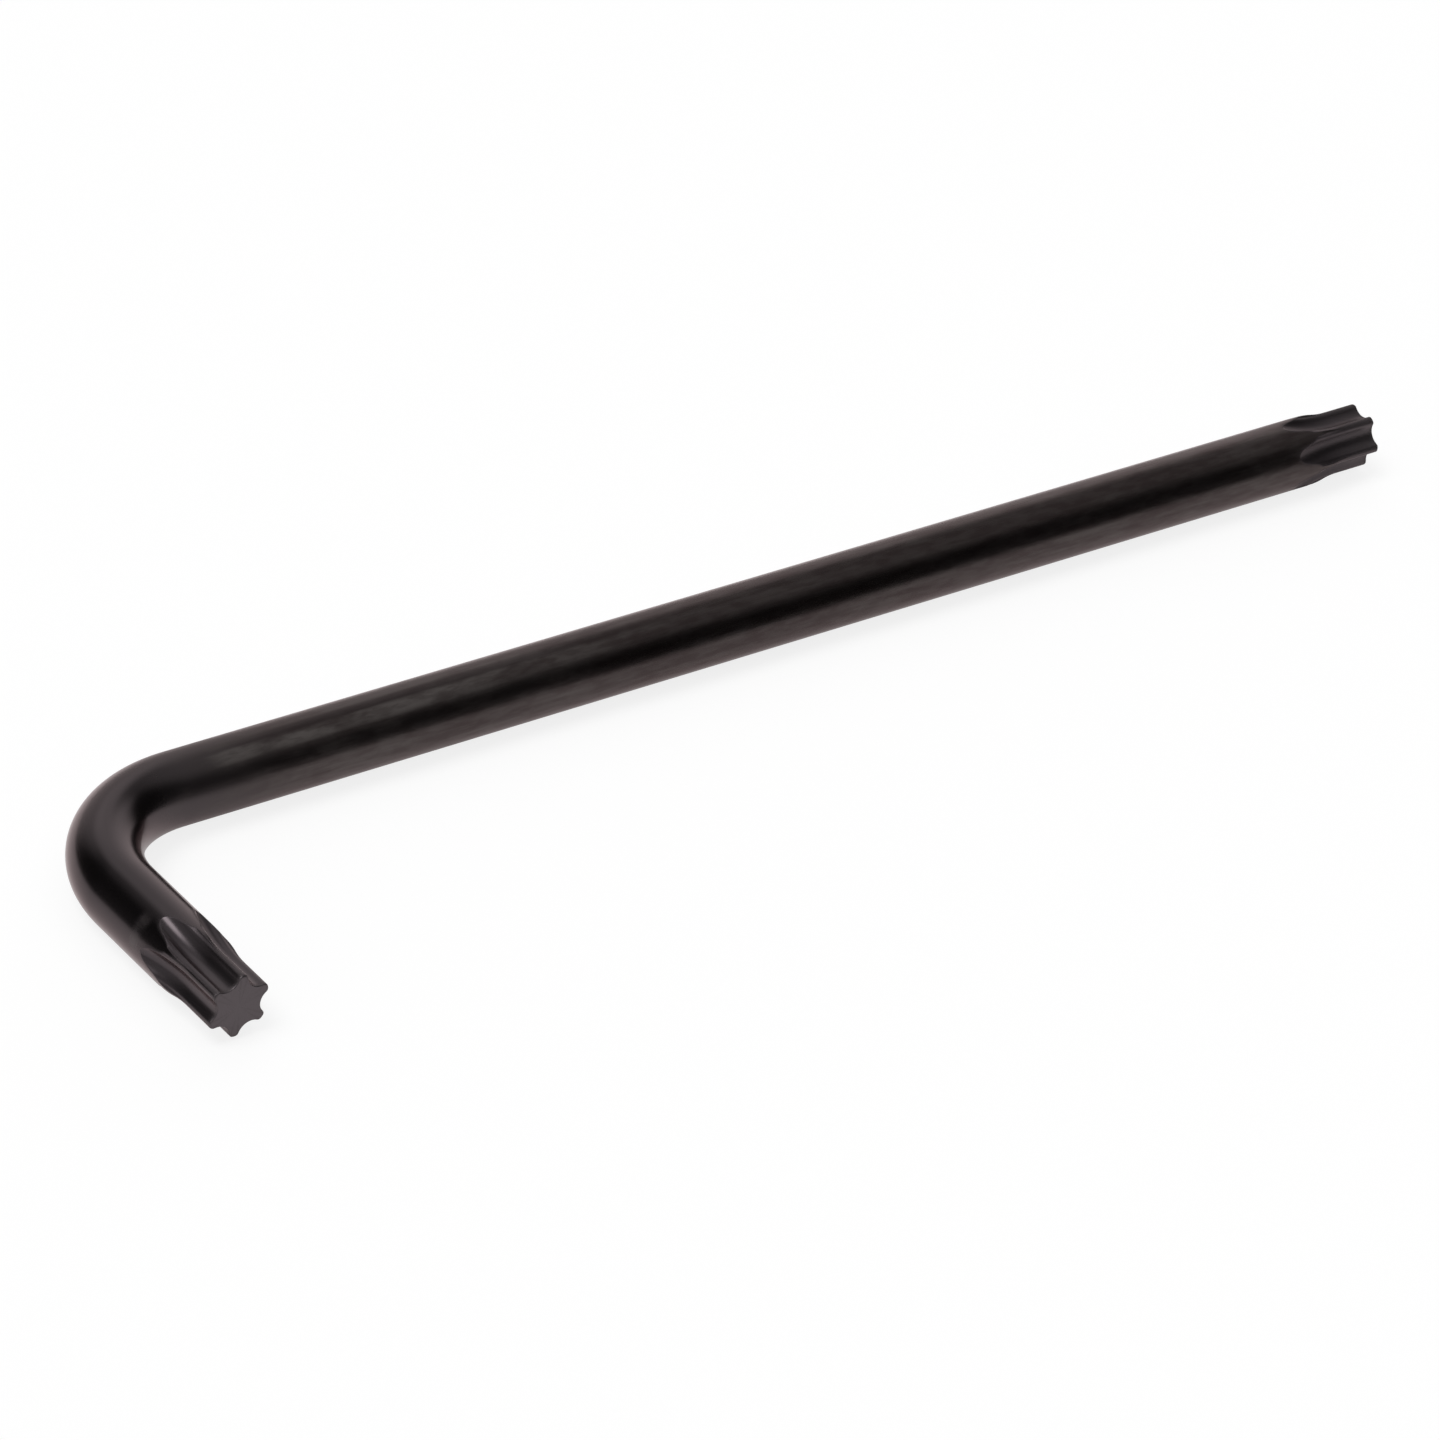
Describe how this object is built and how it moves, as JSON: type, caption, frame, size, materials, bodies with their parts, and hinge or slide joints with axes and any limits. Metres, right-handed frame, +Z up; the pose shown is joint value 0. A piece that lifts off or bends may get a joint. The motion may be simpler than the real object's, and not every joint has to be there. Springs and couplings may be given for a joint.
{
  "type": "star-drive key",
  "caption": "Bent key of round black steel wire with a star drive on the end of each arm, for turning star-socket screws.",
  "frame": {"origin": "middle of the key's footprint, on the surface it lies on", "axes": "+X along the long arm towards its star, -Y along the short arm towards its star, +Z up"},
  "size_m": [0.112, 0.025, 0.005],
  "materials": {
    "blackened_steel": "black oxide on drawn steel wire, satin with a thin film of oil"
  },
  "bodies": {
    "root": {"star_key": "blackened_steel"}
  },
  "joints": []
}
